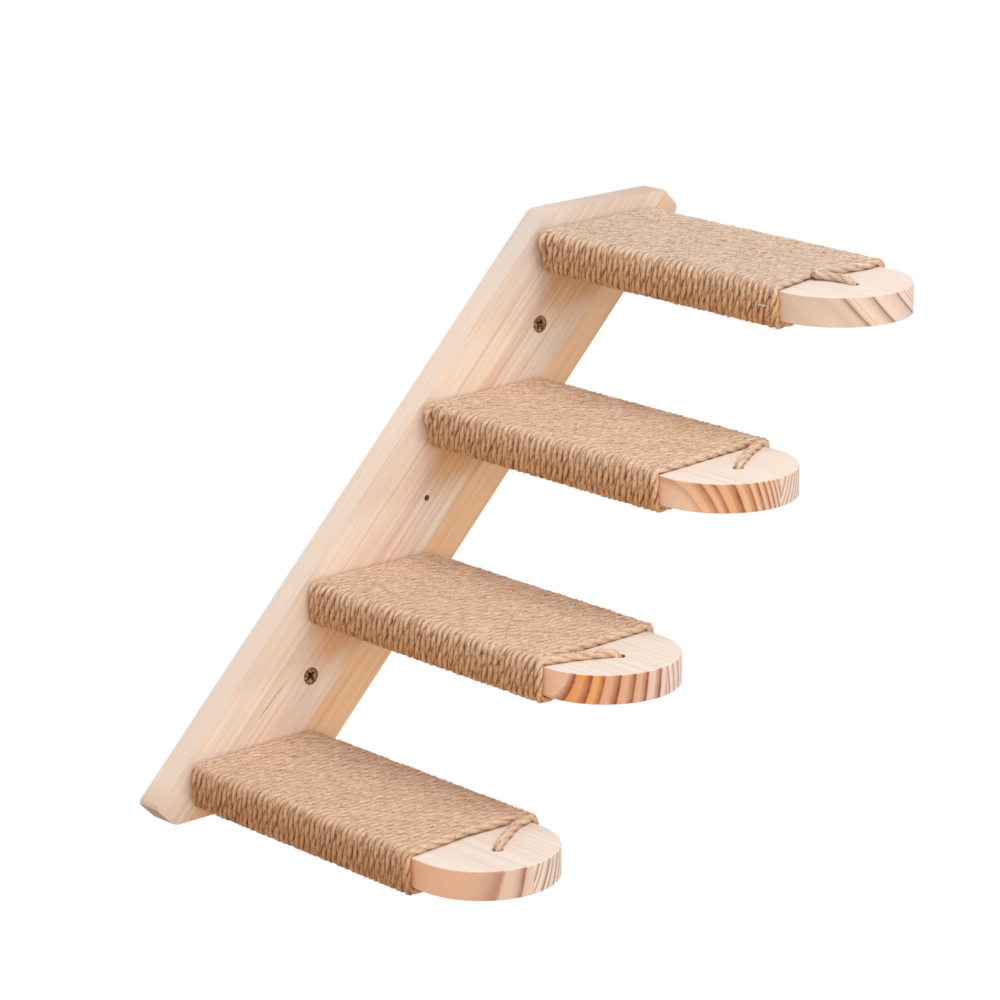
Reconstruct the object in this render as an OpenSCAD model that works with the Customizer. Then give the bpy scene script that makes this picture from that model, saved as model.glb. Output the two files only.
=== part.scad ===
// Cat climbing wall: a sloping pine board that is screwed to a wall and carries four pine treads.
// Each tread is wound with jute rope for grip, as far as its bare rounded end.
// X runs along the wall, Y runs into the wall and Z is up. All sizes are in millimetres.
// The origin is on the wall, at the axis of the board's middle fixing hole.

/* [Board] */
// Width of the plank, square to its edges
board_w = 100; // [90:1:130]
// Thickness of the plank
board_t = 20; // [16:0.5:28]
// Height between the two level ends
board_h = 370; // [360:1:420]
// Slope of the plank from the horizontal, in degrees
board_slope = 45; // [42:1:50]
// Length of the cut, square to the plank's long edges, that takes off each sharp tip
tip_cut = 21; // [14:1:28]
// Width of the darker stave that is glued along the lower edge, at the middle hole
edge_stave_w = 25.5; // [20:0.5:40]
// Angle between the glue line and the plank's edges: the darker stave is wider at its lower end
glue_tilt = 1.3; // [0:0.1:2]
// Diameter of the middle fixing hole
middle_hole_d = 4; // [3:0.5:6]

/* [Treads] */
// Width of a tread, which is also the diameter of its rounded end
tread_w = 100; // [80:1:120]
// Thickness of a tread
tread_t = 20; // [16:0.5:28]
// Length of a tread from the board to the tip of its rounded end
tread_l = 290; // [284:1:340]
// Distance between two treads, measured along the board
tread_step = 150; // [135:1:158]

/* [Rope] */
// Diameter of the jute rope
rope_d = 5.5; // [4:0.5:7]
// Length of tread that is wound, measured from the board
wound_l = 232; // [200:1:236]
// Number of loops in the winding of one tread
loops = 24; // [16:1:24]
// Gap between one loop and the next
loop_gap = 1; // [0.9:0.1:1.6]
// Gap between the rope and the wood under it
rope_gap = 0.3; // [0.1:0.05:0.6]
// Diameter of the hole that takes the rope's end
rope_hole_d = 8; // [7.5:0.5:10]
// Depth of that hole
rope_hole_depth = 14; // [10:1:15]
// Distance from the tread's tip to the middle of that hole
rope_hole_inset = 36; // [30:1:42]
// Height of the notch that traps the rope's start against the board
notch_h = 12; // [8:1:14]
// Radius of the bend where the rope turns into its hole
bend_r = 4.5; // [4:0.25:5]

/* [Wall screws] */
// Outer diameter of a wall screw's thread
wall_screw_d = 6; // [4:0.5:7]
// Length of a wall screw under its head's face
wall_screw_l = 50; // [40:5:70]
// Diameter of a wall screw's head
wall_head_d = 11.5; // [8:0.5:14]

/* [Tread screws] */
// Outer diameter of a tread screw's thread
tread_screw_d = 4; // [3:0.5:5]
// Length of a tread screw under its head's face
tread_screw_l = 60; // [45:5:80]
// Diameter of a tread screw's head
tread_head_d = 8; // [7:0.5:9]
// Distance between the two screws of a tread
tread_screw_gap = 40; // [36:1:60]

/* [Screw fits] */
// Depth of a screw head's face below the wood
head_sink = 0.4; // [0.2:0.1:1]
// Gap round a thread in the board's holes, and round a head in its seat
screw_gap = 0.25; // [0.1:0.05:0.5]
// Gap round a tread screw in the tread's end
thread_gap = 0.1; // [0.05:0.05:0.2]
// Empty hole past the point of a tread screw
point_gap = 2; // [1:0.5:5]

/* [Staple] */
// Thickness of the staple's wire, seen from above a leg
wire_t = 0.6; // [0.5:0.05:0.7]
// Width of the staple's wire
wire_w = 1.2; // [0.8:0.1:1.6]
// Depth of the staple's legs in the wood
staple_bite = 5; // [3:0.5:7]
// Gap between the staple and what it passes
staple_gap = 0.1; // [0.05:0.05:0.15]

/* [Hidden] */
$fn = 48;

// Treads are numbered from the top. A side of 1 has the rope going up the left side of the tread,
// over the top and down the right side, and -1 the other way round.
rope_side = [-1, -1, 1, -1];
// The top tread's rope leaves its last loop in mid-run, and the others leave it at a corner.
rope_leaves_mid = [true, false, false, false];

// Board
along = [cos(board_slope), 0, sin(board_slope)];
half_level = board_w / 2 / sin(board_slope);
end_shift = board_h / 2 / tan(board_slope);
wall_screw_at = tread_step;
cut = 1;

// Screws: height of a head's cylindrical rim, and the plain shank's diameter and the point's
// length as shares of the thread's outer diameter. The plain shank ends where the board does.
rim_h = 0.4;
shank_share = 0.74;
point_share = 1.5;
plain_l = board_t - head_sink;

// Tread centres and wall screws, as distances along the board from the origin
function tread_at(i) = (2.5 - i) * tread_step;
function on_board(d) = d * along;

// Rope: the wound form's centre line runs one rope radius and one gap off the wood
rope_r = rope_d / 2;
off = rope_gap + rope_r;
corner_k = off * tan(22.5);
run_w = tread_w / 2 + corner_k;
run_h = tread_t / 2 + corner_k;
out_w = tread_w / 2 + off;
out_h = tread_t / 2 + off;
mitre = 1 / cos(22.5);
chamfer = norm([out_w - run_w, out_h - run_h]);
turn_len = 4 * run_w + 4 * run_h + 4 * chamfer;

// Each loop stands for nearly two turns of the real rope, so it is wider than the rope is thick.
// The first corner's loop clears the board by one gap, and the last loop ends at wound_l.
first_share = run_w / turn_len;
last_share = (run_w + 2 * chamfer + 2 * run_h) / turn_len;
whole_turns = loops - 1;
pitch = (wound_l - rope_gap + loop_gap) / (loops + last_share - first_share);
loop_w = pitch - loop_gap;
wound_start = rope_gap + loop_w / 2 - first_share * pitch;
rope_start = off;
rope_hole_at = tread_l - rope_hole_inset;

// One turn's eight corners from the middle of the underside, for a side of 1:
// across, up, the outward direction across and up, and the share of the turn so far
turn_corners = [
    [-run_w, -out_h, -sin(22.5), -cos(22.5), run_w],
    [-out_w, -run_h, -cos(22.5), -sin(22.5), run_w + chamfer],
    [-out_w, run_h, -cos(22.5), sin(22.5), run_w + chamfer + 2 * run_h],
    [-run_w, out_h, -sin(22.5), cos(22.5), run_w + 2 * chamfer + 2 * run_h],
    [run_w, out_h, sin(22.5), cos(22.5), 3 * run_w + 2 * chamfer + 2 * run_h],
    [out_w, run_h, cos(22.5), sin(22.5), 3 * run_w + 3 * chamfer + 2 * run_h],
    [out_w, -run_h, cos(22.5), -sin(22.5), 3 * run_w + 3 * chamfer + 4 * run_h],
    [run_w, -out_h, sin(22.5), -cos(22.5), 3 * run_w + 4 * chamfer + 4 * run_h]];

// A ring of the rope is [centre, outward direction, width, height over the wood's direction].
// In a tread's own frame X is across, Y is minus the distance from the board, and Z is up.
function wound_ring(turn, k) =
    let (c = turn_corners[k], y = wound_start + pitch * (turn + c[4] / turn_len))
    [[c[0], -y, c[1]], [c[2], 0, c[3]], loop_w, rope_d * mitre];

// The bend at a hole or notch: the rope arrives level along d and turns to go straight in.
// up is 1 on top of the tread and -1 under it.
bend_steps = [0, 30, 60, 90];
function bend_ring(axis_at, d, up, angle) =
    let (out = d * sin(angle) + [0, 0, up] * cos(angle),
        centre = axis_at - d * bend_r + [0, 0, up * (out_h - bend_r)])
    [centre + out * bend_r, out, rope_d, rope_d];

// Start: out of the notch under the tread, and round the bend into the first loop
start_axis = [0, -rope_start, 0];
start_top = [[0, -rope_start, notch_h - tread_t / 2 - rope_gap], [1, 0, 0], rope_d, rope_d];
start_rings = concat([start_top],
    [for (i = [3:-1:0]) bend_ring(start_axis, [1, 0, 0], -1, bend_steps[i])]);

// The winding: whole turns, and then the underside and one side of the last loop
whole_rings = [for (turn = [0:whole_turns - 1]) for (k = [0:7]) wound_ring(turn, k)];
last_rings = [for (k = [0:3]) wound_ring(whole_turns, k)];
last_corner = last_rings[3][0];

// Tail: from the last corner to the hole, straight across the bare wood or out of mid-run
hole_axis = [0, -rope_hole_at, 0];
function flat_dir(a, b) = [b[0] - a[0], b[1] - a[1], 0] / norm([b[0] - a[0], b[1] - a[1]]);
slant = flat_dir(last_corner, hole_axis);
taper_l = 18;
mid_r = 9;
corner_tail = [[last_corner + slant * taper_l, [0, 0, 1], rope_d, rope_d]];
mid_tail = [for (a = [0, 30, 60, 90])
    [[mid_r * (sin(a) - 1), last_corner[1] - mid_r * (1 - cos(a)), out_h], [0, 0, 1],
        loop_w + (rope_d - loop_w) * a / 90, rope_d]];
function tail_dir(mid) = mid ? [0, -1, 0] : slant;
function tail_rings(mid) = concat(mid ? mid_tail : corner_tail,
    [for (a = bend_steps) bend_ring(hole_axis, tail_dir(mid), 1, a)],
    [[hole_axis + [0, 0, tread_t / 2 - rope_hole_depth + rope_gap], tail_dir(mid), rope_d, rope_d]]);

function rope_rings(mid) = concat(start_rings, whole_rings, last_rings, tail_rings(mid));

// Section of the rope: flat on the wood and ridged outside, as shares of half its width and height
section = [[-0.62, -1], [0.62, -1], [1, 0.2], [0, 1], [-1, 0.2]];
sides = len(section);

function unit(v) = v / norm(v);
function heading(rings, i) =
    let (a = rings[max(i - 1, 0)][0], b = rings[min(i + 1, len(rings) - 1)][0]) unit(b - a);
function ring_points(rings, i) =
    let (r = rings[i], across = unit(cross(heading(rings, i), r[1])))
    [for (s = section) r[0] + across * s[0] * r[2] / 2 + r[1] * s[1] * r[3] / 2];

module tube(rings) {
    n = len(rings);
    points = [for (i = [0:n - 1]) each ring_points(rings, i)];
    walls = [for (i = [0:n - 2]) for (j = [0:sides - 1])
        let (a = i * sides + j, b = i * sides + (j + 1) % sides)
        each [[a, b, a + sides], [b, b + sides, a + sides]]];
    first_cap = [for (j = [1:sides - 2]) [0, j + 1, j]];
    last_cap = [for (j = [1:sides - 2]) [(n - 1) * sides, (n - 1) * sides + j, (n - 1) * sides + j + 1]];
    polyhedron(points = points, faces = concat(walls, first_cap, last_cap));
}

// Least gap of the winding to itself, measured on points of the tube's skin between its rings
skin_steps = 5;
function skin(rings, from, to) = [for (i = [from:to - 1])
    let (a = ring_points(rings, i), b = ring_points(rings, i + 1))
    for (s = [0:skin_steps - 1]) for (j = [0:sides - 1])
        a[j] + (b[j] - a[j]) * s / skin_steps];
function least_gap(a, b) = min([for (p = a) min([for (q = b) norm(p - q)])]);
function last_whole(rings) = len(start_rings) + len(whole_rings) - 1;

module report_gap(mid) {
    rings = rope_rings(mid);
    first = len(start_rings);
    last = last_whole(rings);
    end = len(rings) - 1;
    echo(loops_least_gap = least_gap(skin(rings, first, first + 8), skin(rings, first + 8, first + 16)),
        start_least_gap = least_gap(skin(rings, 0, first), skin(rings, first + 4, first + 10)),
        last_loop_least_gap = least_gap(skin(rings, last - 8, last - 2), skin(rings, last, last + 5)),
        tail_least_gap = least_gap(skin(rings, last - 6, last + 3), skin(rings, last + 5, end)));
}
report_gap(true);
report_gap(false);

// A screw with its head's face at the origin, pointing along +Y. Its thread is drawn as a plain
// cylinder of the thread's outer diameter.
module countersunk_screw(d, l, head_d) {
    shank_r = d / 2 * shank_share;
    rotate([-90, 0, 0]) difference() {
        rotate_extrude() polygon([[0, 0], [head_d / 2, 0], [head_d / 2, rim_h],
            [shank_r, rim_h + head_d / 2 - shank_r], [shank_r, plain_l], [d / 2, plain_l],
            [d / 2, l - point_share * d], [0, l]]);
        cross_recess(head_d);
    }
}

// The cross recess of a head, in proportion to the head
module cross_recess(head_d) {
    slot_l = head_d * 0.5;
    slot_w = head_d * 0.11;
    depth = head_d * 0.2;
    for (turn = [0, 90]) rotate([0, 0, turn])
        translate([-slot_l / 2, -slot_w / 2, -cut]) cube([slot_l, slot_w, depth + cut]);
}

// The hole for such a screw: its seat, and a straight bore of the given depth
module screw_seat(d, head_d, depth, sink) {
    cone_h = (head_d - d) / 2;
    seat_r = head_d / 2 + screw_gap;
    bore_r = d / 2 + screw_gap;
    rotate([-90, 0, 0]) {
        translate([0, 0, -sink - cut]) cylinder(r = seat_r, h = sink + cut + rim_h);
        translate([0, 0, rim_h]) cylinder(r1 = seat_r, r2 = bore_r, h = cone_h);
        cylinder(r = bore_r, h = depth);
    }
}

// Places a child at each of a tread's two screws, on the wall side of the board
module at_tread_screw(i, side) {
    translate(on_board(tread_at(i)) + [side * tread_screw_gap / 2, -head_sink, 0])
        rotate([0, 0, 180]) children();
}

module at_wall_screw(side) {
    translate(on_board(side * wall_screw_at) + [0, head_sink - board_t, 0]) children();
}

module board_holes() {
    translate([0, cut, 0]) rotate([90, 0, 0]) cylinder(d = middle_hole_d, h = board_t + 2 * cut);
    for (side = [-1, 1]) at_wall_screw(side)
        screw_seat(wall_screw_d, wall_head_d, board_t + cut, head_sink);
    for (i = [1:4]) for (side = [-1, 1]) at_tread_screw(i, side)
        screw_seat(tread_screw_d, tread_head_d, board_t + cut, head_sink);
}

// Outline of the whole board, with the tips of its two sharp corners cut off
module board_blank() {
    tip = [end_shift + half_level, board_h / 2];
    on_level_end = tip - [tip_cut / sin(board_slope), 0];
    on_long_edge = tip - tip_cut / tan(board_slope) * [cos(board_slope), sin(board_slope)];
    upper_corners = [tip - [2 * half_level, 0], on_level_end, on_long_edge];
    rotate([90, 0, 0]) linear_extrude(board_t)
        polygon(concat(upper_corners, [for (corner = upper_corners) -corner]));
}

// A strip that runs like the glue line, between two distances square to it from the middle hole
module strip(low, high) {
    l = board_h / sin(board_slope) + 2 * board_w;
    rotate([0, glue_tilt - board_slope, 0]) translate([-l / 2, -board_t - cut, low])
        cube([l, board_t + 2 * cut, high - low]);
}

glue_line = (edge_stave_w - board_w / 2) * cos(glue_tilt);

module main_stave() {
    color("#f0d8bd") difference() {
        intersection() {
            board_blank();
            strip(glue_line, board_w);
        }
        board_holes();
    }
}

module edge_stave() {
    color("#dba878") difference() {
        intersection() {
            board_blank();
            strip(-board_w, glue_line);
        }
        board_holes();
    }
}

// A child is drawn in tread i's own frame, with its origin where the tread's axis meets the board
module on_tread(i) {
    translate(on_board(tread_at(i)) + [0, -board_t, 0]) children();
}

module tread(i) {
    straight_l = tread_l - tread_w / 2;
    color("#f6e3cb") difference() {
        on_tread(i) union() {
            translate([-tread_w / 2, -straight_l, -tread_t / 2]) cube([tread_w, straight_l, tread_t]);
            translate([0, -straight_l, -tread_t / 2]) cylinder(d = tread_w, h = tread_t, $fn = 96);
        }
        on_tread(i) tread_cuts();
        for (side = [-1, 1]) at_tread_screw(i, side) rotate([-90, 0, 0])
            cylinder(d = tread_screw_d + 2 * thread_gap, h = tread_screw_l + point_gap);
        if (i == 1) on_tread(i) staple(staple_gap);
    }
}

module tread_cuts() {
    notch_l = rope_start + rope_r + rope_gap;
    translate([0, -rope_hole_at, tread_t / 2 - rope_hole_depth])
        cylinder(d = rope_hole_d, h = rope_hole_depth + cut);
    translate([-rope_hole_d / 2, -notch_l, -tread_t / 2 - cut])
        cube([rope_hole_d, notch_l + cut, notch_h + cut]);
}

module rope(i) {
    color("#c79a6b") on_tread(i)
        if (rope_side[i - 1] > 0) tube(rope_rings(rope_leaves_mid[i - 1]));
        else mirror([1, 0, 0]) tube(rope_rings(rope_leaves_mid[i - 1]));
}

// The staple straddles the last loop on the left side of the top tread, half way up. That loop is
// on its way down there.
staple_share = (3 * run_w + 3 * chamfer + 3 * run_h) / turn_len;

module staple(grow) {
    y_mid = -wound_start - pitch * (whole_turns - 1 + staple_share);
    crown_l = loop_w + 2 * wire_t + 2 * staple_gap;
    outer = tread_w / 2 + 2 * off - rope_gap + staple_gap + wire_t;
    leg_l = outer - tread_w / 2 + staple_bite;
    translate([-outer - grow, y_mid - crown_l / 2 - grow, -wire_w / 2 - grow]) {
        cube([wire_t + 2 * grow, crown_l + 2 * grow, wire_w + 2 * grow]);
        for (y = [0, crown_l - wire_t]) translate([0, y, 0])
            cube([leg_l + 2 * grow, wire_t + 2 * grow, wire_w + 2 * grow]);
    }
}

module rope_staple() {
    color("#b9b4a6") on_tread(1) staple(0);
}

module wall_screw(side) {
    color("#8f7a45") at_wall_screw(side) countersunk_screw(wall_screw_d, wall_screw_l, wall_head_d);
}

module tread_screw(i, side) {
    color("#b8b09a") at_tread_screw(i, side)
        countersunk_screw(tread_screw_d, tread_screw_l, tread_head_d);
}

main_stave();
edge_stave();
tread(1);  // tread_1
tread(2);  // tread_2
tread(3);  // tread_3
tread(4);  // tread_4
rope(1);  // rope_1
rope(2);  // rope_2
rope(3);  // rope_3
rope(4);  // rope_4
rope_staple();
wall_screw(1);  // wall_screw_upper
wall_screw(-1);  // wall_screw_lower
tread_screw(1, -1);  // tread_1_screw_left
tread_screw(1, 1);  // tread_1_screw_right
tread_screw(2, -1);  // tread_2_screw_left
tread_screw(2, 1);  // tread_2_screw_right
tread_screw(3, -1);  // tread_3_screw_left
tread_screw(3, 1);  // tread_3_screw_right
tread_screw(4, -1);  // tread_4_screw_left
tread_screw(4, 1);  // tread_4_screw_right
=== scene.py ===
from math import cos, hypot, pi, radians, sin

import bmesh
import bpy
import numpy as np
from mathutils import Matrix, Vector


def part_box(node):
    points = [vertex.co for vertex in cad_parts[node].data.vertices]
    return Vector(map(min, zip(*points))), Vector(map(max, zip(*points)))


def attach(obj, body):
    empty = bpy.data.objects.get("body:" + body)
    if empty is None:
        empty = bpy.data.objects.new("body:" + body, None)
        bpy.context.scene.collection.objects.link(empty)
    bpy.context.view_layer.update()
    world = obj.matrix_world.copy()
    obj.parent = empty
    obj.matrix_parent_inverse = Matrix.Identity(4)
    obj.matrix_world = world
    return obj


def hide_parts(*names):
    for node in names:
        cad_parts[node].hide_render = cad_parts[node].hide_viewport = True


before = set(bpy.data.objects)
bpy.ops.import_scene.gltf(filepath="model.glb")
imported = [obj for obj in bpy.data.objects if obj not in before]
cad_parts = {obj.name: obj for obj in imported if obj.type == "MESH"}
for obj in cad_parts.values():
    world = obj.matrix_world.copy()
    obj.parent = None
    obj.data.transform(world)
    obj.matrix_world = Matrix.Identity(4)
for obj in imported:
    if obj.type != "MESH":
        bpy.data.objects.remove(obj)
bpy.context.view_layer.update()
MM = 0.001


# Board: two pine staves glued edge to edge into one plank that lies flat on the wall at 45 degrees.
# The wide main stave is pale, and the narrow edge stave along its lower side is orange heartwood.
# Its two tips are cut off square, its edges are eased with sandpaper and the glue line stays sharp.
BOARD_SLOPE = radians(45)
ALONG_SLOPE = (cos(BOARD_SLOPE), 0, sin(BOARD_SLOPE))
ACROSS_SLOPE = (-sin(BOARD_SLOPE), 0, cos(BOARD_SLOPE))
GLUE_TILT = radians(1.3)
GLUE_LINE = -24.5 * MM * cos(GLUE_TILT)
BOARD_FRONT = -20 * MM
TREAD_STEP = 150 * MM * cos(BOARD_SLOPE)
TREAD_AT = [(2.5 - i) * TREAD_STEP for i in range(1, 5)]
WALL_SCREWS_AT = (TREAD_STEP, -TREAD_STEP)
TREAD_SCREW_OUT = 20 * MM
BOARD_HOLES = [(0, 0)] + [(at, at) for at in WALL_SCREWS_AT]
BOARD_HOLES += [(at + side * TREAD_SCREW_OUT, at) for at in TREAD_AT for side in (-1, 1)]
HOLE_REACH = 9 * MM
SANDED_EDGE = 0.8 * MM
CORNER_EASED, UPPER_TIP_EASED = 3.8 * MM, 6.0 * MM
UPPER_TIP_FROM, THROUGH = 405 * MM, 15 * MM
AT_GLUE, WELD, SPECK = 0.05 * MM, 0.01 * MM, 0.002 * MM
FLAT_WITHIN, TURN_FROM, SHARP_FROM = radians(0.5), radians(30), radians(35)


def on_glue_line(co):
    across = co.z * cos(BOARD_SLOPE - GLUE_TILT) - co.x * sin(BOARD_SLOPE - GLUE_TILT)
    return abs(across - GLUE_LINE) < AT_GLUE


def in_board_hole(co):
    return any(hypot(co.x - x, co.z - z) < HOLE_REACH for x, z in BOARD_HOLES)


def is_turn(edge):
    return edge.is_manifold and edge.calc_face_angle() > TURN_FROM


def ease(wood, edges, offset, segments):
    bmesh.ops.bevel(wood, geom=edges, offset=offset, offset_type="OFFSET", segments=segments, profile=0.5,
                    affect="EDGES", clamp_overlap=True, material=-1)


def round_board_corners(wood):
    """Rounds the corners of the outline a little, and those of the upper tip more."""
    through = [e for e in wood.edges if is_turn(e) and abs(e.verts[0].co.y - e.verts[1].co.y) > THROUGH
               and not on_glue_line(e.verts[0].co) and not in_board_hole(e.verts[0].co)]
    upper = [e for e in through if e.verts[0].co.x + e.verts[0].co.z > UPPER_TIP_FROM]
    others = [e for e in through if e not in upper]
    ease(wood, upper, UPPER_TIP_EASED, segments=8)
    ease(wood, others, CORNER_EASED, segments=8)


def in_scene(name, data):
    made = bpy.data.objects.new(name, data)
    bpy.context.scene.collection.objects.link(made)
    return made


def planed_copy(node, name, left_sharp, shaped=None):
    """The CAD node's wood with its triangles merged and its edges eased, but for those left sharp."""
    piece = in_scene(name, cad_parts[node].data.copy())
    wood = bmesh.new()
    wood.from_mesh(piece.data)
    bmesh.ops.remove_doubles(wood, verts=wood.verts, dist=WELD)
    bmesh.ops.dissolve_limit(wood, angle_limit=FLAT_WITHIN, verts=wood.verts, edges=wood.edges)
    if shaped:
        shaped(wood)
    edges = [e for e in wood.edges if is_turn(e) and not all(left_sharp(v.co) for v in e.verts)]
    ease(wood, edges, SANDED_EDGE, segments=3)
    bmesh.ops.remove_doubles(wood, verts=wood.verts, dist=SPECK)
    wood.to_mesh(piece.data)
    wood.free()
    piece.data.shade_smooth()
    piece.data.set_sharp_from_angle(angle=SHARP_FROM)
    level = piece.modifiers.new("even_shading", "WEIGHTED_NORMAL")
    level.keep_sharp = True
    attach(piece, "root")
    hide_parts(node)
    return piece


def paint(r, g, b):
    """A colour as it is read off a screen, made linear."""
    def linear(c):
        c = c / 255
        return c / 12.92 if c <= 0.04045 else ((c + 0.055) / 1.055) ** 2.4
    return (linear(r), linear(g), linear(b), 1.0)


def put_in(tree, node, inputs):
    """Sets the inputs of a shader node, or links those whose value comes from another node."""
    for key, value in inputs.items():
        if isinstance(value, bpy.types.NodeSocket):
            tree.links.new(value, node.inputs[key])
        else:
            node.inputs[key].default_value = value


def add(tree, kind, inputs=(), **settings):
    made = tree.nodes.new("ShaderNode" + kind)
    for key, value in settings.items():
        setattr(made, key, value)
    put_in(tree, made, dict(inputs))
    return made


def calc(tree, operation, *values, clamp=False):
    return add(tree, "Math", dict(enumerate(values)), operation=operation, use_clamp=clamp).outputs[0]


def times(tree, a, b):
    return calc(tree, "MULTIPLY", a, b)


def vector(tree, operation, *values):
    """A sum with vectors, whose outcome is a number for a length, a distance or a dot product."""
    is_number = operation in ("LENGTH", "DISTANCE", "DOT_PRODUCT")
    made = add(tree, "VectorMath", dict(enumerate(values)), operation=operation)
    return made.outputs["Value" if is_number else "Vector"]


def axis_of(tree, value, axis):
    return add(tree, "SeparateXYZ", {0: value}).outputs[axis]


def fade(tree, value, start, end, most=1.0):
    """A factor that grows from nothing to its most as the value goes from start to end."""
    limits = {"Value": value, "From Min": start, "From Max": end, "To Max": most}
    return add(tree, "MapRange", limits).outputs[0]


def ramp(tree, factor, stops, how="LINEAR"):
    """A colour ramp from (place, colour or grey) stops."""
    made = add(tree, "ValToRGB", {"Fac": factor})
    band = made.color_ramp
    band.interpolation = how
    for _ in stops[2:]:
        band.elements.new(1.0)
    for stop, (place, shade) in zip(band.elements, stops):
        stop.position = place
        stop.color = shade if isinstance(shade, tuple) else (shade, shade, shade, 1.0)
    return made.outputs["Color"]


def blend(tree, factor, a, b, how="MIX"):
    return add(tree, "Mix", {0: factor, 6: a, 7: b}, data_type="RGBA", blend_type=how).outputs[2]


def relief(tree, height, strength, depth):
    return add(tree, "Bump", {"Height": height, "Strength": strength, "Distance": depth}).outputs[0]


def new_material(name):
    made = bpy.data.materials.new(name)
    made.use_nodes = True
    tree = made.node_tree
    tree.nodes.clear()
    shader = add(tree, "BsdfPrincipled")
    add(tree, "OutputMaterial", {0: shader.outputs[0]})
    return made, tree, shader


def dress(piece, material):
    """Gives a piece its one material."""
    piece.data.materials.clear()
    piece.data.materials.append(material)


def on_piece(tree):
    return add(tree, "TexCoord").outputs["Object"]


def facing(tree):
    return add(tree, "NewGeometry").outputs["Normal"]


def fibre_frame(tree, turn, place):
    """Object coordinates turned and moved so that the wood's fibres run along Y."""
    return add(tree, "Mapping", {"Vector": on_piece(tree), "Location": place, "Rotation": turn}).outputs[0]


def stretched_noise(tree, coords, scale, detail=3.0, roughness=0.55):
    """Noise with its own scale along each axis, for fibres and streaks."""
    placed = add(tree, "Mapping", {"Vector": coords, "Scale": scale}).outputs[0]
    look = {"Vector": placed, "Scale": 1.0, "Detail": detail, "Roughness": roughness}
    return add(tree, "TexNoise", look).outputs["Fac"]


def streaks(tree, coords, scale, stops, detail=3.0):
    return ramp(tree, stretched_noise(tree, coords, scale, detail), stops)


def swayed(tree, coords, amount):
    """Coordinates with the slow sway that the fibres of a real plank have."""
    placed = add(tree, "Mapping", {"Vector": coords, "Scale": (14, 3, 14)}).outputs[0]
    sway = add(tree, "TexNoise", {"Vector": placed, "Scale": 1.0, "Detail": 2.0}).outputs["Color"]
    centred = vector(tree, "SUBTRACT", sway, (0.5, 0.5, 0.5))
    return vector(tree, "ADD", coords, vector(tree, "MULTIPLY", centred, (amount, 0, amount)))


def from_pith(tree, coords, pith):
    """Distance from the pith line, which runs along the fibres."""
    moved = vector(tree, "SUBTRACT", coords, (pith[0], 0, pith[1]))
    return vector(tree, "LENGTH", vector(tree, "MULTIPLY", moved, (1, 0, 1)))


def finish_wood(tree, shader, colour, coords, ring, along, dark, light):
    """Bare planed wood: the shades and faint relief of its finest fibres, and a slightly uneven gloss."""
    fibres = stretched_noise(tree, coords, (1000, along, 1000), detail=4.0, roughness=0.6)
    colour = blend(tree, 1.0, colour, ramp(tree, fibres, [(0.3, dark), (0.7, light)]), "MULTIPLY")
    height = calc(tree, "MULTIPLY_ADD", ring, 0.4, fibres)
    put_in(tree, shader, {"Base Color": colour, "Roughness": calc(tree, "MULTIPLY_ADD", fibres, 0.2, 0.45),
                          "Specular IOR Level": 0.3, "Normal": relief(tree, height, 0.3, 0.15 * MM)})


TIP_TAN, EDGE_CREAM, RIM_DUST_AND_SHADE = paint(238, 202, 170), paint(241, 222, 203), paint(84, 58, 40)
END_GRAIN_TAN, CHECK_BROWN = paint(184, 146, 116), paint(150, 100, 74)
# Painted shade, multiplied in: up high, on the upper tip's end and level cut, and near the lower tip.
HIGH_SHADE, TIP_SHADE, TOP_CUT_SHADE = (0.87, 0.91, 0.97, 1), (0.75, 0.79, 0.92, 1), (0.84, 0.79, 0.78, 1)
LOW_TIP_SHADE = (0.85, 0.76, 0.73, 1)
UPPER_EDGE, UPPER_TIP = (26 * MM, 42 * MM, 0.55), (190 * MM, 280 * MM)
HIGH_UP, LOWER_TIP = (120 * MM, 190 * MM), (-271 * MM, -292 * MM)
DOWN_SLOPE, UP_SLOPE, UPWARDS = (-0.8, -0.98), (0.8, 0.98), (0.8, 0.97)
CHECK_ALONG, CHECK_ACROSS, CHECK_LEAN = -179.4 * MM, 16.9 * MM, 0.06
CHECK_WIDE, CHECK_LONG = (0.75 * MM, 0.25 * MM, 0.6), (18 * MM, 9 * MM)
# Dark rims of the wall screws' seats and the middle hole: part metal dust, part painted shade.
RIMS = [(WALL_SCREWS_AT[0], 6 * MM), (WALL_SCREWS_AT[1], 6 * MM), (0, 2 * MM)]
RIM_BEYOND, RIM_WITHIN = 0.5 * MM, 0.1 * MM
RIM_FORCE, SIDE_FORCE, TIP_FORCE = 0.85, 0.75, 0.6

# How the front of the board is tinted above and below each tread, by mm below the rope's underside:
# painted shade right under it, warmed as by light off the jute, and painted light above it and lower down.
PAINTED_TREAD_SHADE = [(-80, (1, 1, 1)), (-62, (1.08, 1.15, 1.2)), (-32, (1.08, 1.15, 1.2)),
             (-2, (0.91, 0.68, 0.44)), (12, (0.92, 0.7, 0.46)), (22, (0.94, 0.74, 0.5)),
             (32, (1.03, 0.96, 0.85)), (43, (1.07, 1.07, 1.05)), (70, (1, 1, 1))]
TINT_FROM, TINT_TO = -80, 80
ROPE_UNDERSIDE, TINT_MIDDLE, TINT_SIDES = 15.5 * MM, 12 * MM, (68 * MM, 50 * MM)


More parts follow.
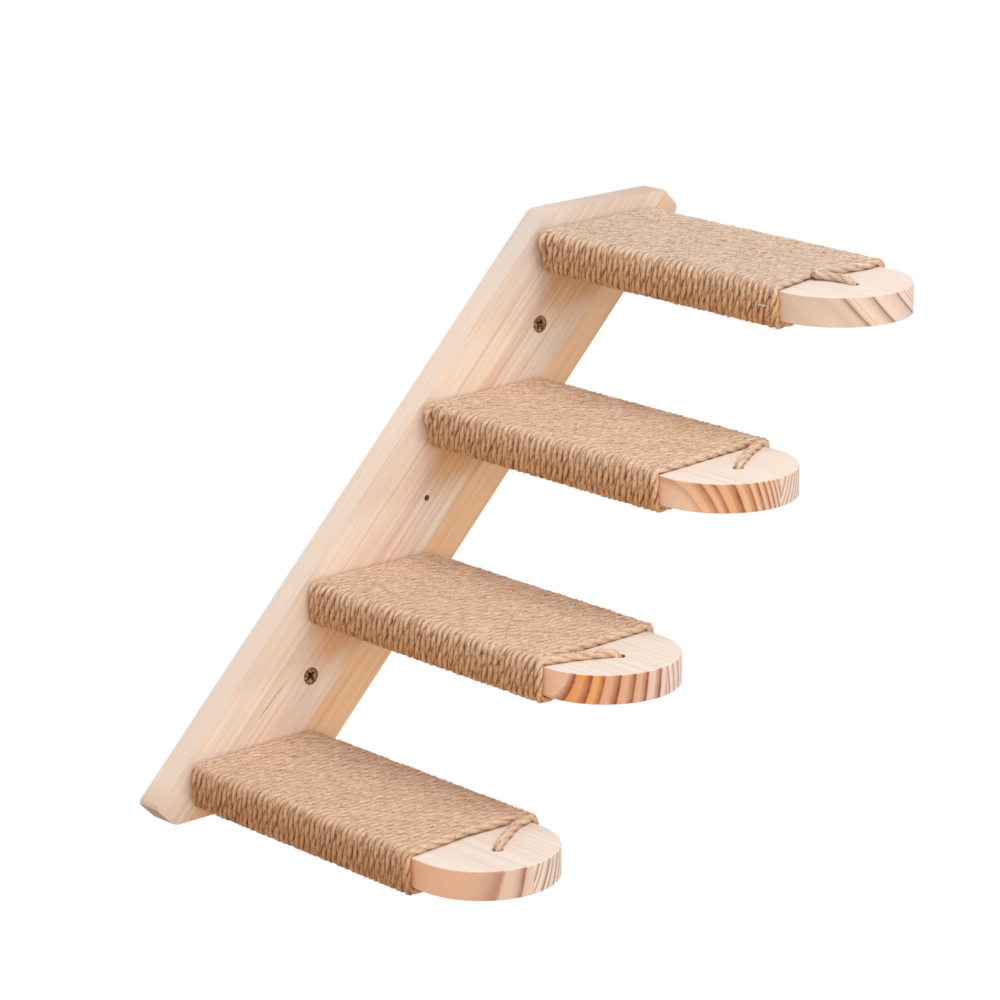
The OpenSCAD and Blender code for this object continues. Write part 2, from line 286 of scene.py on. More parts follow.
def painted_tread_shade(tree, colour, place, on_front):
    x, _, z = add(tree, "SeparateXYZ", {0: place}).outputs
    stops = [((v - TINT_FROM) / (TINT_TO - TINT_FROM), (*shade, 1.0)) for v, shade in PAINTED_TREAD_SHADE]
    # Painted shade below each tread and painted light above it, on the front only.
    for at in TREAD_AT:
        below = calc(tree, "SUBTRACT", at - ROPE_UNDERSIDE, z)
        tint = ramp(tree, fade(tree, below, TINT_FROM * MM, TINT_TO * MM), stops)
        beside = calc(tree, "ABSOLUTE", calc(tree, "SUBTRACT", x, at + TINT_MIDDLE))
        near = fade(tree, beside, *TINT_SIDES)
        colour = blend(tree, times(tree, near, on_front), colour, tint, "MULTIPLY")
    return colour


def grain_check(tree, colour, along, across, on_front):
    """One short dark line in the grain, low on the front."""
    lean = calc(tree, "MULTIPLY_ADD", along, CHECK_LEAN, -CHECK_ACROSS - CHECK_LEAN * CHECK_ALONG)
    off = calc(tree, "ABSOLUTE", calc(tree, "ADD", across, lean))
    past = calc(tree, "ABSOLUTE", calc(tree, "SUBTRACT", along, CHECK_ALONG))
    shown = times(tree, fade(tree, off, *CHECK_WIDE), fade(tree, past, *CHECK_LONG))
    return blend(tree, times(tree, shown, on_front), colour, CHECK_BROWN)


def rims_dust_and_shade(tree, colour, place):
    """The dark ring round each hole's rim: part metal dust and part painted shade in its seat."""
    flat = vector(tree, "MULTIPLY", place, (1, 0, 1))
    for at, hole_r in RIMS:
        off = vector(tree, "DISTANCE", flat, (at, 0, at))
        rim = fade(tree, off, hole_r + RIM_BEYOND, hole_r - RIM_WITHIN, RIM_FORCE)
        colour = blend(tree, rim, colour, RIM_DUST_AND_SHADE)
    return colour


def board_grain(tree, coords, yellow, pink, late, pith, ring_gap, strength):
    """Broad yellow and pink bands, with soft rings and fine streaks in them."""
    colour = blend(tree, streaks(tree, coords, (55, 2.4, 55), [(0.38, 0.0), (0.6, 1.0)], 2.0), yellow, pink)
    uneven = stretched_noise(tree, coords, (70, 1.2, 70), detail=2.0)
    rings_out = calc(tree, "DIVIDE", from_pith(tree, coords, pith), ring_gap)
    phase = calc(tree, "ADD", rings_out, times(tree, uneven, 4.0))
    soft_ring = [(0.0, 0.0), (0.4, 0.15), (0.8, 1.0), (0.92, 0.8), (1.0, 0.0)]
    ring = ramp(tree, calc(tree, "FRACT", phase), soft_ring)
    force = times(tree, streaks(tree, coords, (85, 3.2, 85), [(0.38, 0.15), (0.66, 1.0)], 2.0), strength)
    colour = blend(tree, times(tree, ring, force), colour, late)
    colour = blend(tree, streaks(tree, coords, (240, 4, 240), [(0.42, 0.0), (0.74, 0.6)]), colour, late)
    colour = blend(tree, streaks(tree, coords, (330, 6, 330), [(0.5, 0.0), (0.74, 0.55)]), colour, yellow)
    return colour, ring


def board_tints_and_painted_shade(tree, colour, planed_side, with_tread_shade):
    """The tints of the board's sides, edges, tips, cuts and holes, by place and by the way a face looks,
    with painted shade and light by the treads, in the hole rims, up high and on the tips.
    """
    place, normal = on_piece(tree), facing(tree)
    outwards = axis_of(tree, normal, "Y")
    on_side = calc(tree, "SUBTRACT", 1.0, calc(tree, "ABSOLUTE", outwards), clamp=True)
    on_front = calc(tree, "MULTIPLY", outwards, -1.0, clamp=True)
    along = vector(tree, "DOT_PRODUCT", place, ALONG_SLOPE)
    across = vector(tree, "DOT_PRODUCT", place, ACROSS_SLOPE)
    at_tip = fade(tree, along, *UPPER_TIP)
    colour = blend(tree, times(tree, on_side, SIDE_FORCE), colour, planed_side)
    colour = blend(tree, fade(tree, across, *UPPER_EDGE), colour, EDGE_CREAM)
    colour = blend(tree, times(tree, at_tip, TIP_FORCE), colour, TIP_TAN)
    colour = grain_check(tree, colour, along, across, on_front)
    if with_tread_shade:
        colour = painted_tread_shade(tree, colour, place, on_front)
    colour = rims_dust_and_shade(tree, colour, place)
    end_on = vector(tree, "DOT_PRODUCT", normal, ALONG_SLOPE)
    colour = blend(tree, fade(tree, end_on, *DOWN_SLOPE), colour, END_GRAIN_TAN)
    on_level_cut = times(tree, fade(tree, axis_of(tree, normal, "Z"), *UPWARDS), at_tip)
    # Painted shade: darker up high, on the upper tip's end and level cut, and near the lower tip.
    for factor, dull in ((fade(tree, along, *HIGH_UP), HIGH_SHADE),
                         (fade(tree, end_on, *UP_SLOPE), TIP_SHADE),
                         (fade(tree, along, *LOWER_TIP), LOW_TIP_SHADE), (on_level_cut, TOP_CUT_SHADE)):
        colour = blend(tree, factor, colour, dull, "MULTIPLY")
    return colour


def board_pine(name, planed_side, with_tread_shade, **grain):
    """Planed pine of the board, with its fibres along the slope."""
    made, tree, shader = new_material(name)
    coords = swayed(tree, fibre_frame(tree, (0, BOARD_SLOPE, pi / 2), (0, 0, 0)), 9 * MM)
    colour, ring = board_grain(tree, coords, **grain)
    colour = board_tints_and_painted_shade(tree, colour, planed_side, with_tread_shade)
    finish_wood(tree, shader, colour, coords, ring, along=20, dark=0.93, light=1.05)
    return made


def left_sharp_on_board(co):
    return on_glue_line(co) or in_board_hole(co)


main_pine = board_pine(
    "pine_main_stave", planed_side=paint(231, 213, 201), with_tread_shade=True, yellow=paint(240, 220, 196),
    pink=paint(238, 208, 186), late=paint(216, 170, 144), pith=(60 * MM, -260 * MM), ring_gap=6.5 * MM,
    strength=0.65)
edge_pine = board_pine(
    "pine_edge_stave", planed_side=paint(236, 198, 160), with_tread_shade=False, yellow=paint(247, 206, 162),
    pink=paint(249, 205, 164), late=paint(234, 176, 128), pith=(90 * MM, -140 * MM), ring_gap=9 * MM,
    strength=0.4)
for stave, pine, slot in (("main_stave", main_pine, "pine"), ("edge_stave", edge_pine, "pine_edge_stave")):
    dress(planed_copy(stave, "board_" + stave, left_sharp_on_board, round_board_corners), pine)


# Treads: four pine planks with half-round ends, screwed square to the board from behind.
# Each is glued from one or two staves, and the sawn end shows the growth rings of each.
# Piths, rings, tints and the glue line (upto) are placed in mm across the tread from its middle.
ROPE_HOLE_AT = BOARD_FRONT - 254 * MM
HALF_SHOWN = 62.0
PLANED_CREAM, PLANED_STREAK, PLANED_BAND = (238, 227, 217), paint(220, 182, 154), paint(232, 200, 160)
RING_ON_PLANED, LEFT_SHARP = 0.13, 6 * MM

STAVES = {
    1: [dict(pith=(76, 77), dark=(112, 74, 62), wide=0.14, soft=0.12, planed=(230, 215, 206),
             rings=[(-50, 0.1), (-25.6, 0.7), (-21.4, 0.55), (-7.8, 1.0), (15.6, 0.85), (25, 0.7),
                    (30, 0.8), (36, 0.7), (43, 0.8), (50, 0.6)],
             tint=[(-50, 231, 202, 178), (-43, 229, 202, 180), (-36, 220, 190, 168), (-31, 234, 204, 180),
                   (-26.5, 208, 176, 152), (-22.5, 246, 220, 200), (-14, 234, 202, 182),
                   (-9.5, 206, 168, 150), (-6.5, 242, 216, 202), (10, 236, 206, 188),
                   (14.5, 214, 180, 164), (17, 243, 219, 206)])],
    2: [dict(upto=4, pith=(-200, -58), dark=(152, 70, 24), wide=0.54, soft=0.24,
             rings=[(-60, 0.0), (-50, 0.0), (-46.1, 0.35), (-39.5, 0.75), (-34.5, 0.85), (-25.5, 1.0),
                    (-17.5, 0.9), (-12, 1.0), (-7, 0.9), (-3, 0.9), (0.7, 0.8), (4.5, 0.8), (9, 0.8)],
             tint=[(-50, 249, 205, 174), (-43, 239, 184, 142), (-31, 232, 172, 124), (-8, 232, 188, 154),
                   (6, 236, 204, 186)]),
        dict(pith=(-60, 30), dark=(134, 82, 58), wide=0.36, soft=0.2,
             rings=[(1, 0.8), (6.7, 0.8), (11, 0.7), (15, 0.9), (20, 0.7), (24, 0.8), (29, 0.7),
                    (34, 0.8), (40, 0.6), (46, 0.7), (52, 0.5)],
             tint=[(0, 244, 214, 194), (50, 240, 220, 208)])],
    3: [dict(upto=9, pith=(-230, 30), dark=(146, 62, 20), wide=0.5, soft=0.22,
             rings=[(-60, 0.0), (-50, 0.0), (-46, 1.0), (-40, 1.0), (-34.6, 0.9), (-26.2, 1.0), (-17, 1.0),
                    (-7.9, 1.0), (3.7, 1.0), (12, 0.9)],
             tint=[(-48, 246, 196, 166), (-46, 238, 160, 92), (-36, 242, 168, 100), (-33, 226, 168, 132),
                   (-15, 224, 168, 134), (-6, 236, 196, 172), (9, 240, 212, 200)]),
        dict(pith=(-60, -8), dark=(140, 90, 68), wide=0.36, soft=0.2,
             rings=[(5, 0.8), (12.2, 0.8), (18, 0.8), (24.8, 0.9), (30, 0.7), (36, 0.8), (42, 0.7),
                    (50, 0.6)],
             tint=[(8, 244, 216, 204), (50, 240, 218, 206)])],
    4: [dict(upto=-1, pith=(-200, 42), dark=(150, 84, 62), wide=0.34, soft=0.2,
             rings=[(-60, 0.0), (-23.3, 0.5), (-8.3, 0.95), (8, 0.6)],
             tint=[(-50, 239, 182, 146), (-30, 222, 178, 149), (-24, 210, 162, 132), (-22.5, 226, 192, 170),
                   (-10, 224, 190, 168), (0, 234, 202, 182)]),
        dict(pith=(-60, 31), dark=(118, 72, 54), wide=0.42, soft=0.2,
             rings=[(-6, 0.6), (0.9, 0.8), (4.6, 0.7), (12.2, 0.9), (17.1, 0.8), (23.4, 0.9), (29, 0.8),
                    (35, 0.8), (41, 0.8), (50, 0.7)],
             tint=[(-2, 242, 217, 195), (50, 238, 214, 202)])],
}


def share_across(x):
    """A place across the end, as a share of the width that the tints cover."""
    return (x + HALF_SHOWN) / (2 * HALF_SHOWN)


def stave_colour(tree, coords, end_grain, stave):
    """Rings and tint of one stave, strong on the sawn end and faint on planed faces."""
    across, up = stave["pith"]
    radius = from_pith(tree, coords, (across * MM, up * MM))
    reach = calc(tree, "SUBTRACT", times(tree, radius, radius), (up * MM) ** 2)
    reach = calc(tree, "SQRT", calc(tree, "MAXIMUM", reach, 0.0))
    ring_place = calc(tree, "MULTIPLY_ADD", reach, (1 if across < 0 else -1) / MM, across)
    share = calc(tree, "DIVIDE", calc(tree, "ADD", ring_place, HALF_SHOWN), 2 * HALF_SHOWN, clamp=True)
    rings = [(share_across(x), force) for x, force in stave["rings"]]
    count = len(rings) - 1
    steps = ramp(tree, share, [(place, k / count) for k, (place, _) in enumerate(rings)])
    steps = calc(tree, "FRACT", times(tree, steps, float(count)))
    wide, soft = stave["wide"], stave["soft"]
    ring = ramp(tree, steps, [(0.0, 0.3), (0.1, 0.0), (0.45, 0.0), (1 - wide, soft), (1 - 0.45 * wide, 0.7),
                              (1 - 0.2 * wide, 1.0), (0.97, 0.9), (1.0, 0.3)])
    ends = [rings[0]] + [((a[0] + b[0]) / 2 * 0.2 + a[0] * 0.8, b[1]) for a, b in zip(rings, rings[1:])]
    ring = times(tree, ring, ramp(tree, share, ends, "CONSTANT"))
    tint = ramp(tree, share, [(share_across(x), paint(*shade)) for x, *shade in stave["tint"]])
    dark = paint(*stave["dark"])
    sawn = blend(tree, ring, tint, dark)
    planed = blend(tree, times(tree, ring, RING_ON_PLANED), paint(*stave.get("planed", PLANED_CREAM)), dark)
    return blend(tree, end_grain, planed, sawn), ring


def tread_pine(name, at, staves):
    """Pine of one tread: cream on its planed faces, ringed and more orange on its round end."""
    made, tree, shader = new_material(name)
    coords = fibre_frame(tree, (0, 0, 0), (-at, 0, -at))
    level = calc(tree, "ABSOLUTE", axis_of(tree, facing(tree), "Z"))
    end_grain = calc(tree, "SUBTRACT", 1.0, calc(tree, "POWER", level, 2.0))
    rings_at = swayed(tree, coords, 2.2 * MM)
    colour, ring = stave_colour(tree, rings_at, end_grain, staves[0])
    if len(staves) > 1:
        other, other_ring = stave_colour(tree, rings_at, end_grain, staves[1])
        past = calc(tree, "GREATER_THAN", axis_of(tree, coords, "X"), staves[0]["upto"] * MM)
        colour = blend(tree, past, colour, other)
        ring = blend(tree, past, ring, other_ring)
    bands = streaks(tree, coords, (60, 5, 60), [(0.4, 0.0), (0.66, 0.16)], 2.0)
    colour = blend(tree, bands, colour, PLANED_BAND)
    streak = streaks(tree, coords, (220, 6, 220), [(0.45, 0.0), (0.75, 0.2)])
    colour = blend(tree, streak, colour, PLANED_STREAK)
    finish_wood(tree, shader, colour, coords, ring, along=26, dark=0.95, light=1.04)
    return made


def left_sharp_on_treads(co):
    """The root against the board, and the rim of the rope's hole."""
    from_hole = min(hypot(co.x - at, co.y - ROPE_HOLE_AT) for at in TREAD_AT)
    return co.y > BOARD_FRONT - LEFT_SHARP or from_hole < LEFT_SHARP


for i, at in enumerate(TREAD_AT, 1):
    plank = planed_copy(f"tread_{i}", f"tread_{i}_plank", left_sharp_on_treads)
    dress(plank, tread_pine(f"pine_tread_{i}", at, STAVES[i]))


# Ropes: three-strand jute of 5.5 mm, about 42 turns on each tread laid side by side.
# A rope starts in the notch under the tread's root, and its end goes down into the hole near the tip.
# Each is one tube with three twisted strands, and a second piece holds its loose hairs.
ROPE_R = 2.75
SQUASHED, THICKNESS_STRAY, SKIN_STRAY = 1.1, 0.022, 0.08
HALF_ACROSS, HALF_UP, TURN_R = 52.9, 12.9, 3.7
PLANK_HALF_W, PLANK_HALF_T, WOUND_TO = 50.05, 10.05, 245
LAY, LAY_STRAY, LAY_KNOTS = 35.0, 0.13, 50
STEP = 1.9
STRAND = [(-60, 0.74), (-38, 0.9), (-14, 1.0), (14, 1.0), (38, 0.9)]
SECTION = [(radians(120 * strand + a), r) for strand in range(3) for a, r in STRAND]
SECTION_ANGLES = np.array([a for a, _ in SECTION])
GROOVE_DEPTHS = np.array([(1 - r) / (1 - STRAND[0][1]) for _, r in SECTION])
TURNS, FIRST_TURN_AT, TURN_STRAY = 41, 2.95, 0.13
NOTCH_TOP, STARTS_AT = 1.7, 4.5
TAIL_HOLE, NEAR_TAIL_HOLE, OFF_BOARD = 254.0, 5, 0.02
PULLED_HALF_W, PULLED_OVER = 56, 62
LIFTED, LIFTED_HALF_W, LIFTED_OVER = 1.2, 30, 16
LOOSE_FROM, LOOSE_TO, LOOSE_OVER = 30, 52, 6.5
HAIRS, HAIR_R, HAIR_LENGTH, HAIR_RISE, HAIR_SWAY = 1400, 0.12, (2.5, 6), (0.05, 0.4), 0.8
HAIR_SUNK, HAIRS_FROM = 0.25, 7

# Side 1 comes up the left of the tread. The last turns are skewed, out on the left and back on the
# right, and may be pulled back in the middle. The tail's points are across, out from the board and up.
# These and all sizes of the ropes are in mm.
WINDINGS = {
    1: dict(side=-1, last=232.3, pulled=8.5, skew=4.1, loose=5.5,
            tail=[(36, 229.0, 13.0), (18, 226.6, 13.2), (4, 225.0, 14.2), (-5, 225.6, 14.8),
                  (-9.5, 228.4, 14.2), (-6.5, 232.2, 13.4), (-3.2, 237.5, 13.0), (-1.6, 245, 12.9)]),
    2: dict(side=-1, last=229.6, pulled=0.0, skew=3.8, loose=6.0,
            tail=[(42, 229.4, 12.9), (32, 234.8, 12.9), (19, 242.6, 12.9), (9, 249.0, 12.9)]),
    3: dict(side=1, last=232.0, pulled=0.0, skew=3.0, loose=0.0,
            tail=[(-44, 236.4, 13.0), (-30, 240.4, 12.9), (-18, 245.4, 12.9), (-8, 250.4, 12.9)]),
    4: dict(side=-1, last=229.6, pulled=3.0, skew=0.0, loose=0.0,
            tail=[(44, 230.8, 12.9), (34, 233.6, 12.9), (23, 240.0, 12.9), (12, 246.8, 12.9)]),
}


def round_the_tread(share):
    """Across and up on the rounded rectangle that a turn follows, from the middle of the underside."""
    flat, tall, bend = HALF_ACROSS - TURN_R, HALF_UP - TURN_R, TURN_R * pi / 2
    runs = [flat, bend, 2 * tall, bend, 2 * flat, bend, 2 * tall, bend, flat]
    s = share * sum(runs)
    corners = {1: (-flat, -tall, -pi / 2), 3: (-flat, tall, pi), 5: (flat, tall, pi / 2),
               7: (flat, -tall, 0)}
    for k, run in enumerate(runs):
        if s <= run or k == 8:
            break
        s -= run
    if k in corners:
        x, z, start = corners[k]
        a = start - s / TURN_R
        return x + TURN_R * cos(a), z + TURN_R * sin(a)
    return {0: (-s, -HALF_UP), 2: (-HALF_ACROSS, s - tall), 4: (s - flat, HALF_UP),
            6: (HALF_ACROSS, tall - s), 8: (flat - s, -HALF_UP)}[k]


PERIMETER = 4 * (HALF_ACROSS - TURN_R) + 4 * (HALF_UP - TURN_R) + 2 * pi * TURN_R
TO_TOP = (HALF_ACROSS - TURN_R + pi * TURN_R + 2 * (HALF_UP - TURN_R)) / PERIMETER


def curve_through(points):
    """Points a step apart on a smooth curve through the given ones."""
    points = np.array(points, float)
    padded = np.vstack([2 * points[0] - points[1], points, 2 * points[-1] - points[-2]])
    dense = []
    for k in range(len(points) - 1):
        a, b, c, d = padded[k:k + 4]
        for t in np.linspace(0, 1, 24, endpoint=False):
            bent = (2 * a - 5 * b + 4 * c - d) * t ** 2 + (3 * b - a - 3 * c + d) * t ** 3
            dense.append(0.5 * (2 * b + (c - a) * t + bent))
    dense = np.array(dense + [points[-1]])
    gone = distance_gone(dense)
    wanted = np.linspace(0, gone[-1], int(round(gone[-1] / STEP)) + 1)
    return np.stack([np.interp(wanted, gone, dense[:, k]) for k in range(3)], axis=1)


def distance_gone(route):
    return np.concatenate([[0], np.cumsum(np.linalg.norm(np.diff(route, axis=0), axis=1))])


def into_hole(last):
    """The end of the tail, from its last point on the wood down into the tread's hole."""
    from_hole = np.array([last[0], last[1] - TAIL_HOLE])
    from_hole /= np.linalg.norm(from_hole)
    return [(away * from_hole[0], TAIL_HOLE + away * from_hole[1], z)
            for away, z in ((4.3, 12.2), (1.7, 9.9), (0.8, 6.5), (0.8, 1), (0.8, -3.6))]


def wound_turns(winding, rng):
    """The turns round the tread, with those pulled back, lifted, skewed or loose as the winding says."""
    side, last = winding["side"], winding["last"]
    pitch = (last - FIRST_TURN_AT) / (TURNS + TO_TOP)
    count = int((TURNS + TO_TOP) * PERIMETER / STEP)
    shares = np.linspace(STARTS_AT / PERIMETER, TURNS + TO_TOP, count)
    wobble = np.interp(shares, np.arange(TURNS + 3) * 0.5, rng.normal(0, TURN_STRAY, TURNS + 3))
    wound = []
    for share, stray in zip(shares, wobble):
        x, z = round_the_tread(share % 1.0)
        y = FIRST_TURN_AT + pitch * share + (stray if 0.5 < share < TURNS - 0.3 else 0)
        if winding["pulled"] and z > 10:
            y -= winding["pulled"] * (1 - abs(x) / PULLED_HALF_W) * np.exp(-(last - y) / PULLED_OVER)
            z += LIFTED * max(0, 1 - abs(x) / LIFTED_HALF_W) * np.exp(-(last - y) / LIFTED_OVER)
        y -= winding["skew"] * side * x / HALF_ACROSS * (y / last) ** 2
        at_left = min(1, max(0, (-side * x - LOOSE_FROM) / (LOOSE_TO - LOOSE_FROM)))
        high = min(1, max(0, (z + 3) / 9))
        x -= side * winding["loose"] * at_left * high * np.exp(-((y - FIRST_TURN_AT) / LOOSE_OVER) ** 2)
        wound.append((x, y, z))
    return wound


def rope_route(winding, rng):
    """The rope's middle line in the tread's own frame: across, out from the board, up."""
    bend = [(0, NOTCH_TOP), (0, -4), (0, -8.4), (-1.3, -11.6), (-STARTS_AT, -HALF_UP)]
    start = curve_through([(x, FIRST_TURN_AT, z) for x, z in bend])[:-1]
    wound = wound_turns(winding, rng)
    side = winding["side"]
    tail = [(x * side, y, z) for x, y, z in winding["tail"]]
    tail = curve_through([wound[-1]] + tail + into_hole(tail[-1]))[1:]
    route = np.vstack([start, wound, tail])
    route[:, 0] *= side
    return route, len(tail)


def cross_section(name, outline):
    """The closed flat curve that gives a rope or a wire its cross section."""
    section = bpy.data.curves.new(name, "CURVE")
    ring = section.splines.new("POLY")
    ring.points.add(len(outline) - 1)
    for point, (x, y) in zip(ring.points, outline):
        point.co = (x, y, 0, 1)
    ring.use_cyclic_u = True
    return in_scene(name, section)


def line_with_section(name, places, section, twist):
    line = bpy.data.curves.new(name, "CURVE")
    line.dimensions = "3D"
    line.twist_mode = twist
    line.bevel_mode = "OBJECT"
    line.bevel_object = section
    points = line.splines.new("POLY").points
    points.add(len(places) - 1)
    points.foreach_set("co", np.hstack([places, np.ones((len(places), 1))]).ravel())
    return line


def mesh_from(shape):
    """The mesh that a shape's curve or modifiers make. The shape itself is removed."""
    mesh = bpy.data.meshes.new_from_object(shape.evaluated_get(bpy.context.evaluated_depsgraph_get()))
    bpy.data.objects.remove(shape)
    return mesh


def solid_from_line(name, line):
    """A piece made from a thickened curve, with its open ends closed."""
    mesh = mesh_from(in_scene(name + "_line", line))
    mesh.name = name
    tube = bmesh.new()
    tube.from_mesh(mesh)
    bmesh.ops.holes_fill(tube, edges=[e for e in tube.edges if e.is_boundary])
    bmesh.ops.recalc_face_normals(tube, faces=tube.faces)
    tube.to_mesh(mesh)
    tube.free()
    mesh.shade_smooth()
    return in_scene(name, mesh)


def laid_turns(gone, rng):
    """How far the strands have turned at each point, in the uneven lay of real rope."""
    knots = np.arange(0, gone[-1] + LAY_KNOTS * MM, LAY_KNOTS * MM)
    rate = 2 * pi / (LAY * MM) * (1 + np.interp(gone, knots, rng.normal(0, LAY_STRAY, len(knots))))
    return np.concatenate([[0], np.cumsum(rate[1:] * np.diff(gone))])


def stranded_rope(name, route, section, turned, rng):
    """The rope itself, as a tube along its route whose section turns with the strands."""
    line = line_with_section(name, route, section, "MINIMUM")
    line.splines[0].points.foreach_set("tilt", turned)
    knots = np.arange(0, len(route) + 9, 9)
    strays = rng.normal(SQUASHED, THICKNESS_STRAY, len(knots))
    line.splines[0].points.foreach_set("radius", np.interp(np.arange(len(route)), knots, strays))
    return solid_from_line(name, line)


def points_of(mesh):
    co = np.empty(len(mesh.vertices) * 3)
    mesh.vertices.foreach_get("co", co)
    return co.reshape(-1, 3)


def press_on_plank(mesh, at, rng):
    """Roughens the rope's skin a little and keeps it out of the wood."""
    co = points_of(mesh)
    co += rng.normal(0, SKIN_STRAY * MM, co.shape)
    across, up = co[:, 0] - at, co[:, 2] - at
    half_w, half_t = PLANK_HALF_W * MM, PLANK_HALF_T * MM
    co[:, 1] = np.minimum(co[:, 1], BOARD_FRONT - OFF_BOARD * MM)
    buried = (np.abs(across) < half_w) & (np.abs(up) < half_t) & (np.abs(across) > NEAR_TAIL_HOLE * MM)
    buried &= co[:, 1] > BOARD_FRONT - WOUND_TO * MM
    lift = buried & (half_t - np.abs(up) < half_w - np.abs(across))
    push = buried & ~lift
    co[lift, 2] = at + np.sign(up[lift]) * half_t
    co[push, 0] = at + np.sign(across[push]) * half_w
    mesh.vertices.foreach_set("co", co.ravel())


def note_on_skin(mesh, name, values):
    kind, field = ("FLOAT_VECTOR", "vector") if values.ndim == 2 else ("FLOAT", "value")
    mesh.attributes.new(name, kind, "POINT").data.foreach_set(field, values.ravel())


def away_from_wood(route, at):
    """The direction off the tread at each point of the route, across and up, with its length."""
    inner = np.array([HALF_ACROSS - TURN_R, HALF_UP - TURN_R]) * MM
    offset = route[:, [0, 2]] - at
    outward = offset - np.clip(offset, -inner, inner)
    return outward, np.linalg.norm(outward, axis=1)


def place_on_skin(mesh, route, tail_count, at):
    """For each point of the skin: how deep in a groove, how far round to a neighbour, how far on top."""
    round_it = points_of(mesh).reshape(len(route), -1, 3) - route[:, None, :]
    between = np.abs(round_it[:, :, 1]) / np.linalg.norm(round_it, axis=2)
    tail = len(route) - tail_count
    between[tail:] = 0
    last_turn = slice(tail - int(PERIMETER / STEP), tail)
    between[last_turn] *= round_it[last_turn, :, 1] > 0
    outward, far = away_from_wood(route, at)
    upward = np.clip(outward[:, 1] / np.maximum(far, 1e-6), 0, 1) ** 2
    upward = np.repeat(upward[:, None], len(SECTION), 1)
    groove = np.tile(GROOVE_DEPTHS, (len(route), 1))
    return np.stack([groove, between, upward], axis=2).reshape(-1, 3)


def note_for_jute(mesh, route, tail_count, at, gone, turned):
    """Notes on the skin what its jute is painted by: places along and round it, depth and height."""
    from_start = np.repeat(gone, len(SECTION))
    for name, turn in (("fibre", turned), ("strand", 0 * turned)):
        angle = (SECTION_ANGLES - turn[:, None]).ravel()
        round_it = ROPE_R * MM * np.cos(angle), ROPE_R * MM * np.sin(angle)
        note_on_skin(mesh, name, np.stack([from_start, *round_it], 1))
    note_on_skin(mesh, "skin", place_on_skin(mesh, route, tail_count, at))
    # Painted light, by the rope's height on the tread.
    painted_light_share = np.interp((route[:, 2] - at) / MM, *PAINTED_LIGHT_BY_HEIGHT)
    note_on_skin(mesh, "painted_light_share", np.repeat(painted_light_share, len(SECTION)))


def loose_hairs(name, route, at, rng):
    """Thin hairs that lie along the rope and lift off its outer side, as one mesh."""
    line = bpy.data.curves.new(name, "CURVE")
    line.dimensions = "3D"
    line.bevel_depth = HAIR_R * MM
    line.bevel_resolution = 0
    along = np.gradient(route, axis=0)
    along /= np.linalg.norm(along, axis=1)[:, None]
    outward, far = away_from_wood(route, at)
    free = np.flatnonzero((far > 0.9 * TURN_R * MM) & (BOARD_FRONT - route[:, 1] > HAIRS_FROM * MM))
    for k in rng.choice(free, HAIRS):
        round_by = rng.uniform(-0.9, 0.9)
        across, up = outward[k] / far[k] * cos(round_by)
        out = Vector((across, sin(round_by), up))
        ahead = Vector(along[k]) * rng.choice([-1, 1])
        aside = ahead.cross(out)
        length, rise = rng.uniform(*HAIR_LENGTH) * MM, rng.uniform(*HAIR_RISE) * MM
        sway = rng.normal(0, HAIR_SWAY) * MM
        spline = line.splines.new("POLY")
        spline.points.add(3)
        for point, t in zip(spline.points, (0, 0.34, 0.67, 1)):
            lift = SQUASHED * ROPE_R * MM - HAIR_SUNK * MM + rise * t ** 0.7
            bent = ahead * (length * t) + aside * (sway * t * t)
            point.co = (*(Vector(route[k]) + out * lift + bent), 1)
            point.radius = rng.uniform(0.7, 1.2) * (1 - 0.4 * t)
    return solid_from_line(name, line)


# One jute: paler on top as painted light, darker and more orange on the sides as painted shade. Deep is its
# darkest fibres and the painted shade in its grooves and between its turns.
JUTE_TOP = dict(crown=paint(236, 211, 190), body=paint(219, 184, 155), deep=paint(158, 108, 76))
JUTE_SIDE = dict(crown=paint(244, 194, 150), body=paint(221, 162, 112), deep=paint(112, 50, 13))
JUTE_FLECK = paint(252, 240, 224)
# Painted light by height on the tread in mm: side palette to top palette, and the sides' tint low to high.
PAINTED_LIGHT_BY_HEIGHT = ([-8, -4, 0, 4, 8, 12], [0, 0.1, 0.3, 0.58, 0.85, 1.0])


def noted(tree, name, output="Vector"):
    return add(tree, "Attribute", attribute_name=name, attribute_type="GEOMETRY").outputs[output]


